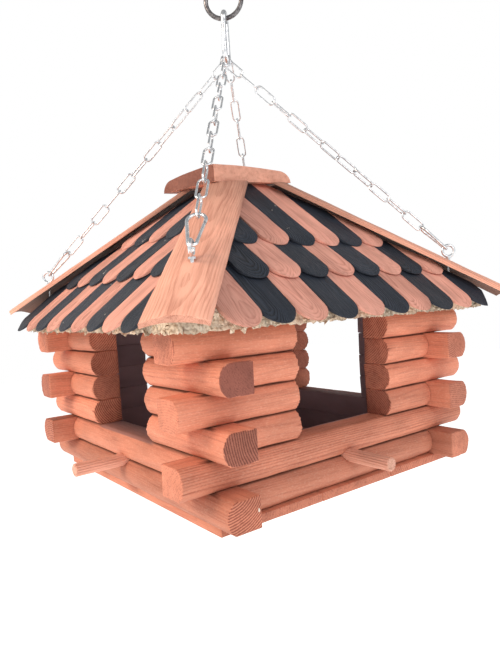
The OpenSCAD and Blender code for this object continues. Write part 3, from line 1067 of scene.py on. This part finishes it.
@dataclass
class Roof(Joinery):
    """Hipped roof: particle board panels, lapped round-ended shingles, hip covers, cap."""

    pitch: float = 38.5
    peak: float = 322.09 * MM
    eave: float = 194 * MM
    panel: float = 10 * MM
    mitre: float = 0.3 * MM
    corner_cuts: tuple[float, float, float] = (25 * MM, 34 * MM, 43 * MM)
    broken: float = 6 * MM
    chip: float = 3.4 * MM
    chips_a_side: int = 190
    spacing: float = 34 * MM
    gap: float = 0.6 * MM
    shingle: float = 3.5 * MM
    overhang: float = 14.5 * MM
    front_step: float = 49.5 * MM
    right_step: float = 39.5 * MM
    lap: float = 16 * MM
    trim: float = 8 * MM
    corner_space: float = 48 * MM
    cut_overhang: float = 5 * MM
    tip_facets: int = 14
    most_places: int = 12
    front_black: tuple[float, float, float] = (-1 * MM, 32 * MM, -26 * MM)
    right_black: tuple[float, float, float] = (22 * MM, 28 * MM, -17 * MM)
    cover_widths: Pair = (45 * MM, 47 * MM)
    cover_thickness: float = 5.5 * MM
    cover_radii: Pair = (55 * MM, 70 * MM)
    cover_lift: float = 7.35 * MM
    cover_head: float = 35.0 * MM
    cover_overhangs: tuple[float, float, float, float] = (22 * MM, 11 * MM, 3 * MM, -9 * MM)
    head_tint: float = 0.42
    # Brightness of the painted shade in a cover's hollow
    painted_hollow_shade: float = 0.22
    cap_seat: float = 22.5 * MM
    cap_lean: float = 5.4
    cap_shift: float = 9 * MM
    cap_width: float = 103 * MM
    cap_height: float = 17 * MM
    cap_shoulder: float = 13 * MM
    cap_arch: float = 420 * MM

    def __post_init__(self) -> None:
        """Works out the slopes and the cap's level."""
        self.slope = math.radians(self.pitch)
        self.hip_slope = math.degrees(math.atan(math.tan(self.slope) / math.sqrt(2)))
        self.corner_foot = self.eave * math.sqrt(2) / math.cos(math.radians(self.hip_slope))
        self.cap_level = self.peak - self.cap_seat * math.tan(self.slope)

    def rows(self, side: Side) -> list[tuple[float, float, float]]:
        """Where the three rows of one side lie.

        Args:
            side: Side of the roof.

        Returns:
            Level distance of each row's tip and head from the peak and its head's lift,
            from the eave.
        """
        step = self.front_step if side in (Side.FRONT, Side.BACK) else self.right_step
        tips = [self.eave + self.overhang - row * step for row in range(3)]
        heads = [tips[1] - self.lap, tips[2] - self.lap, self.cap_seat - 3 * MM]
        props = [0.0] + [
            self.shingle * (tips[i] - heads[i]) / (heads[i - 1] - heads[i]) for i in (1, 2)
        ]
        ridden = self.shingle + props[1] * (tips[2] - heads[1]) / (tips[1] - heads[1])
        lifts = (0.0, props[1], max(props[2], ridden) + 0.2 * MM)
        return list(zip(tips, heads, lifts))

    def on_slope(self) -> Matrix:
        """From down the slope (X), along the eave (Y), to the front side of the cabin."""
        return moved(0, 0, self.peak) @ turned(-90, "Z") @ turned(self.pitch, "Y")

    def trim_part(self, part: Part, side: Side, gap: float, further: float) -> None:
        """Saws a part off along both hips, under the cap and at the roof's cut corners.

        Args:
            part: The part, in the front side's place.
            side: Side of the roof that it is made for.
            gap: Level distance kept from the hip line.
            further: How far outside the panels' corner cuts it may reach.
        """
        for s in (-1, 1):
            part.cut(Vector((0, -gap, 0)), Vector((s, 1, 0)).normalized())
        back = turned(-side.value, "Z")
        for turn, cut in zip((45, 135, 225), self.corner_cuts):
            out = back @ turned(turn, "Z") @ Vector((1, 0, 0))
            part.cut(out * (2 * self.eave - cut + further) / math.sqrt(2), out)
        self.bevel_under_cap(part, back)

    def bevel_under_cap(self, part: Part, place: Matrix) -> None:
        """Saws off what would stand above the underside of the leaning cap.

        Args:
            part: The part.
            place: From the cabin's frame, above its lowest logs, to the part's.
        """
        lean = turned(45, "Z") @ turned(self.cap_lean, "X")
        point = place @ Vector((0, 0, self.cap_level - 0.3 * MM))
        part.cut(point, (place @ lean).to_3x3() @ Vector((0, 0, 1)))

    def shingle_part(self, side: Side, row: int, across: float, rng: random.Random) -> Part:
        """One shingle, its tip sanded to a slope, in the front side's place.

        Args:
            side: Side of the roof.
            row: Row from the eave.
            across: Place along the eave.
            rng: Random source.

        Returns:
            The shingle.
        """
        tip, head, lift = self.rows(side)[row]
        draw, thick = rng.uniform, self.shingle
        length = (tip - head) / math.cos(self.slope)
        half = (self.spacing - self.gap) / 2
        part = Part([(-half, 0), (half, 0), (half, thick), (-half, thick)], length)
        centre = Vector((length - half, 0, 0))
        for i in range(self.tip_facets):
            angle = math.radians(-90 + 180 * (i + 0.5) / self.tip_facets)
            out = Vector((math.cos(angle), math.sin(angle), 0))
            part.cut(centre + out * half, out)
        # The tip is sanded to a rounded slope, a little skew on every shingle
        skew = draw(-0.1, 0.1)
        for back, fall, drop in ((draw(14, 19), 0.09, 0), (draw(8, 11), 0.22, 0.5), (4, 0.42, 1.3)):
            normal = Vector((fall, skew * fall, 1)).normalized()
            part.cut(Vector((length - back * MM, 0, thick - drop * MM)), normal)
        part.work(0.4 * MM, 6 * MM, (0.3 * MM, 20 * MM), draw(0, 90), 20, both_ways=True)
        grain = Grain(rng, near=20 * MM, far=60 * MM, lean=3.5, tone=0.09, angle=(58, 122))
        part.grow(grain, sawn(0.3))
        down = head / math.cos(self.slope) + draw(-1.2, 0.2) * MM
        place = moved(down, across + draw(-0.3, 0.3) * MM, 0)
        tilt = turned(-math.degrees(math.asin(lift / length)), "Y")
        part.put(self.on_slope() @ place @ tilt @ turned(draw(-0.8, 0.8), "Z"))
        self.trim_part(part, side, self.trim, self.cut_overhang)
        return part

    def shingles(self) -> None:
        """Makes the pale and the black shingles of every side."""
        finishes = {"pale": PALE_SHINGLE.material(), "black": BLACK_SHINGLE.material()}
        for side in Side:
            parts: dict[str, list[Part]] = {word: [] for word in finishes}
            rng = random.Random(900 + side.value)
            starts = self.front_black if side in (Side.FRONT, Side.BACK) else self.right_black
            for row, (tip, _, _) in enumerate(self.rows(side)):
                last = tip - (self.corner_space if row == 0 else self.spacing)
                for i in range(-self.most_places, self.most_places + 1):
                    across = starts[row] + i * self.spacing
                    if abs(across) >= last:
                        continue
                    part = self.shingle_part(side, row, across, rng)
                    if part.bm.faces:
                        parts["pale" if i % 2 else "black"].append(part.put(self.facing(side)))
            for word, material in finishes.items():
                node = f"{side.name.lower()}_{word}_shingles"
                hand_over(node, parts[word], material)

    def panels(self) -> None:
        """Makes the four panels with their splintered lower edges and loose chips."""
        material = ParticleBoard().material()
        long, wide = self.eave / math.cos(self.slope) + self.panel, self.eave
        for side in Side:
            part = Part([(-wide, -self.panel), (wide, -self.panel), (wide, 0), (-wide, 0)], long)
            part.put(self.on_slope())
            part.cut(Vector((0, -wide, 0)), Vector((0, -1, 0)))
            self.trim_part(part, side, self.mitre * math.sqrt(2), 0)
            for back in (1.5, 3, 5, 8):
                part.divide(Vector((0, -wide + back * MM, 0)), Vector((0, 1, 0)))
            part.rings(2.6 * MM)
            self.splinter(part, side.value)
            parts = [piece.put(self.facing(side)) for piece in (part, *self.chips(side))]
            node = f"{side.name.lower()}_roof_panel"
            hand_over(node, parts, material, f"{node}_board")

    def splinter(self, part: Part, seed: int) -> None:
        """Breaks the lower edge of a panel into chips.

        Args:
            part: Panel in the front side's place.
            seed: Place in the noise.
        """
        for vert in part.bm.verts:
            near = max(0.0, 1 - (self.eave + vert.co.y) / self.broken)
            if near <= 0:
                continue
            at = vert.co / self.chip + Vector((seed, 3, 1))
            vert.co.y -= near * (noise.noise(at) * 2.6 + noise.noise(at * 0.3) * 1.8 - 0.2) * MM
            vert.co.z += near * (noise.noise(at + Vector((9, 9, 9))) * 2.2 - 0.2) * MM

    def chips(self, side: Side) -> list[Part]:
        """Flakes that hang loose from the lower edge of one panel.

        Args:
            side: Side of the roof.

        Returns:
            The flakes in the front side's place.
        """
        draw = random.Random(2100 + side.value).uniform
        bottom = self.peak - self.eave * math.tan(self.slope) - self.panel / math.cos(self.slope)
        ends = {Side.FRONT: (-140, 186), Side.RIGHT: (-186, 165)}.get(side, (-148, 148))
        flakes = []
        for i in range(self.chips_a_side):
            long, wide = draw(2.5, 6) * MM, draw(0.8, 2.2) * MM
            along, hang = draw(*ends), 0.0
            at_corner = {Side.FRONT: along > 130, Side.RIGHT: along < -140}.get(side, False)
            if at_corner and i % 2:
                # The panels broke deepest under the near hip cover
                long, hang = long * 1.6, draw(0, 3) * MM
            thick = draw(0.4, 0.8) * MM
            part = Part([(-wide, 0), (wide, 0), (wide * draw(0.3, 1), thick), (-wide * 0.6, thick)],
                        long)
            part.cut(Vector((long * 0.8, 0, 0)), Vector((1, draw(-0.8, 0.8), 0)))
            place = moved(along * MM, draw(-0.4, 3) * MM - self.eave,
                          bottom - hang + draw(0.5, 12) * MM)
            spin = turned(draw(0, 360), "Z") @ turned(draw(-40, 60), "Y")
            flakes.append(part.put(place @ spin @ turned(draw(0, 180), "X")))
        return flakes

    def cover_tint(self, spot: Vector, flat: Normals, long: float) -> float:
        """How bright a hip cover is drawn: darker towards its head, painted shade in its hollow.

        Args:
            spot: The place, down the cover from its head.
            flat: Normals of the faces round it.
            long: Length of the cover.

        Returns:
            Share of the stain's own brightness.
        """
        # Painted shade on the hollow underside
        if all(n.z < -0.5 for n in flat):
            return self.painted_hollow_shade
        down = spot.x / long
        return self.head_tint + (1 - self.head_tint) * min(1.0, down / 0.5) + 0.2 * down

    def covers(self) -> None:
        """Makes the four hip covers, hollowed below and bevelled under the cap."""
        material = RIDGE_WOOD.material()
        top, foot_width = self.cover_widths
        outer, hollow = self.cover_radii
        crown = self.cover_lift + self.cover_thickness
        half = math.degrees(math.asin(foot_width / 2 / outer))
        under = math.degrees(math.asin(foot_width / 2 / hollow))
        section = arc((0, crown - outer), outer, 90 - half, 90 + half, 18)
        section += arc((0, self.cover_lift - hollow), hollow, 90 + under, 90 - under, 14)
        for hip, past in zip(Hip, self.cover_overhangs):
            long = self.corner_foot + past - self.cover_head
            part = Part(section, long)
            taper = math.atan2((foot_width - top) / 2, long)
            for s in (-1, 1):
                part.cut(Vector((long, s * foot_width / 2, 0)),
                         Vector((-math.sin(taper), s * math.cos(taper), 0)))
            place = (
                moved(0, 0, self.peak) @ turned(hip.value - 45, "Z")
                @ turned(self.hip_slope, "Y") @ moved(self.cover_head, 0, 0)
            )
            self.bevel_under_cap(part, place.inverted())
            part.work(0.8 * MM, 8 * MM, (0.45 * MM, 30 * MM), 17 + hip.value, 35)
            part.fray(0.5 * MM, 0.5 * MM, hip.value)
            grain = Grain(random.Random(1300 + hip.value), near=6 * MM, far=11 * MM, lean=0.9,
                          tone=0.03, angle=(255, 285), figure=(0.9, 1.1))
            part.grow(grain, sawn(0.3), tint=lambda spot, flat: self.cover_tint(spot, flat, long))
            part.put(moved(0, 0, self.floor) @ place)
            hand_over(f"{hip.name.lower()}_hip_cover", [part], material)

    def cap(self) -> None:
        """Makes the square cap, arched across its grain, its rounded shoulders at two corners."""
        wide = self.cap_width / math.sqrt(2)
        flank = wide - self.cap_shoulder
        drop = self.cap_arch - math.sqrt(self.cap_arch**2 - flank**2)
        level = self.cap_height - self.cap_shoulder - drop
        arch = math.degrees(math.asin(flank / self.cap_arch))
        crown = arc((0, self.cap_height - self.cap_arch), self.cap_arch, 90 - arch, 90 + arch, 14)
        section = [(-wide, 0), (wide, 0), *arc((flank, level), self.cap_shoulder, 0, 80, 8),
                   *crown[1:-1], *arc((-flank, level), self.cap_shoulder, 100, 180, 8)]
        part = Part(section, 2 * wide)
        part.put(moved(-wide, 0, 0))
        for s in (-1, 1):
            for t in (-1, 1):
                out = Vector((s, t, 0)).normalized()
                part.cut(out * self.cap_width / 2, out)
        part.work(0.9 * MM, 9 * MM, (0.4 * MM, 25 * MM), 5, 30)
        # The front and back edges take the dark colour of a soaked end
        soaked = Vector((1, -1, 0)).normalized()
        part.grow(
            Grain(random.Random(1500), near=25 * MM, far=45 * MM, lean=3, angle=(60, 120)),
            lambda _, flat: any(abs(n.dot(soaked)) > 0.9 for n in flat),
        )
        part.put(moved(0, 0, self.floor + self.cap_level) @ turned(45, "Z")
                 @ turned(self.cap_lean, "X") @ moved(-self.cap_shift, 0, 0) @ turned(90, "Z"))
        hand_over("roof_cap", [part], RIDGE_WOOD.material())

    def build(self) -> None:
        """Makes the whole roof."""
        self.panels()
        self.shingles()
        self.covers()
        self.cap()


@dataclass
class HangingSet:
    """Screw eyes, snap hooks, chains and ring, kept as the frame has them."""

    zinc: PlatedWire = PlatedWire("bright zinc plated wire", "f4f6f8", "d2d6da", 0.2)
    ring: PlatedWire = PlatedWire("dulled steel wire", "8d8b8c", "5f5c5e", 0.38)
    plated: tuple[str, ...] = ("near_chain", "right_chain", "back_chain", "left_chain",
                               "screw_eyes", "small_snap_hooks", "top_snap_hook")

    def build(self) -> None:
        """Gives each steel node its material."""
        for finish, names in ((self.zinc, self.plated), (self.ring, ("hanging_ring",))):
            material = finish.material()
            for name in names:
                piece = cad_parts[name]
                piece.data.materials.clear()
                piece.data.materials.append(material)
                LOG.info("%s: dressed", piece.name)


# ---- Studio ----


@dataclass
class Studio:
    """Camera, pale floor and soft light.

    The camera's place is measured above the underside of the lowest logs, and the lights'
    places and the height that they aim at are measured in the frame.
    """

    floor: float
    azimuth: float = 52.61
    pitch: float = 3.09
    roll: float = -3.28
    place: tuple[float, float, float] = (519.1 * MM, -386.3 * MM, 173.1 * MM)
    lens: float = 30.47
    sensor: float = 36
    floor_drop: float = 0.55
    aim: float = -0.36

    def camera(self) -> None:
        """Stands the camera level with the eaves, before the near corner."""
        a, e, r = (math.radians(v) for v in (self.azimuth, self.pitch, self.roll))
        back = Vector((math.sin(a) * math.cos(e), -math.cos(a) * math.cos(e), math.sin(e)))
        right = (-back).cross(Vector((0, 0, 1))).normalized()
        up = right.cross(-back)
        tilted = right * math.cos(r) + up * math.sin(r)
        upright = up * math.cos(r) - right * math.sin(r)
        data = bpy.data.cameras.new("view")
        data.lens = self.lens
        data.sensor_width = self.sensor
        camera = bpy.data.objects.new("view", data)
        axes = Matrix((tilted, upright, back)).transposed().to_4x4()
        camera.matrix_world = moved(0, 0, self.floor) @ Matrix.Translation(self.place) @ axes
        bpy.context.scene.collection.objects.link(camera)
        bpy.context.scene.camera = camera

    def lamp(self, name: str, place: Vector, size: float, power: float, tint: str) -> None:
        """Adds a square soft light aimed at the cabin.

        Args:
            name: Name of the light.
            place: Where it stands.
            size: Side of its face.
            power: Watts.
            tint: Colour of the light, sRGB hex.
        """
        data = bpy.data.lights.new(name, "AREA")
        data.shape = "SQUARE"
        data.size = size
        data.energy = power
        data.color = colour(tint)[:3]
        light = bpy.data.objects.new(name, data)
        turn = (Vector((0, 0, self.aim)) - place).to_track_quat("-Z", "Y")
        light.matrix_world = Matrix.Translation(place) @ turn.to_matrix().to_4x4()
        bpy.context.scene.collection.objects.link(light)

    def room(self) -> None:
        """A room that is bright up to eye level and dimmer overhead, and looks plain white."""
        world = bpy.data.worlds.new("white room")
        world.use_nodes = True
        tree = world.node_tree
        around = add(tree, "TexCoord").outputs["Generated"]
        up = add(tree, "SeparateXYZ", (around,)).outputs["Z"]
        glow = add(tree, "MapRange", (up, 0.05, 0.8, 0.85, 0.42))
        seen = add(tree, "LightPath").outputs["Is Camera Ray"]
        power = add(tree, "Mix", (seen, glow, 1.0))
        feed(tree.nodes["Background"], {"Color": (1, 1, 1, 1), "Strength": power})
        bpy.context.scene.world = world

    def build(self) -> None:
        """Sets up floor, world and lights."""
        # Matt paper: no shine, and a glow that keeps it pale
        paper, _, shader = new_material("matt white paper")
        feed(shader, {"Base Color": "f7f6f4", "Roughness": 0.9,
                      "Emission Color": (1, 1, 1, 1), "Emission Strength": 0.62})
        floor = bmesh.new()
        bmesh.ops.create_grid(floor, x_segments=1, y_segments=1, size=6)
        low = CAD_BOX[0][2] - self.floor_drop
        bmesh.ops.translate(floor, vec=(0, 0, low), verts=floor.verts)
        whole_piece("studio_floor", floor, paper)
        self.room()
        self.lamp("key", Vector((-0.5, -2.0, 0.9)), 1.0, 37, "ffe8d2")
        self.lamp("side", Vector((2.0, -0.3, 0.8)), 1.2, 12, "fff8f8")
        bpy.context.scene.view_settings.view_transform = "Standard"


def main() -> None:
    """Builds the studio and every sub-assembly in order."""
    logging.basicConfig(level=logging.INFO, format="%(name)s: %(message)s")
    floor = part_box("bottom_through_logs")[0].z
    studio = Studio(floor)
    studio.camera()
    Walls(floor).build()
    Floor(floor).build()
    Roof(floor).build()
    HangingSet().build()
    studio.build()


if __name__ == "__main__":
    main()
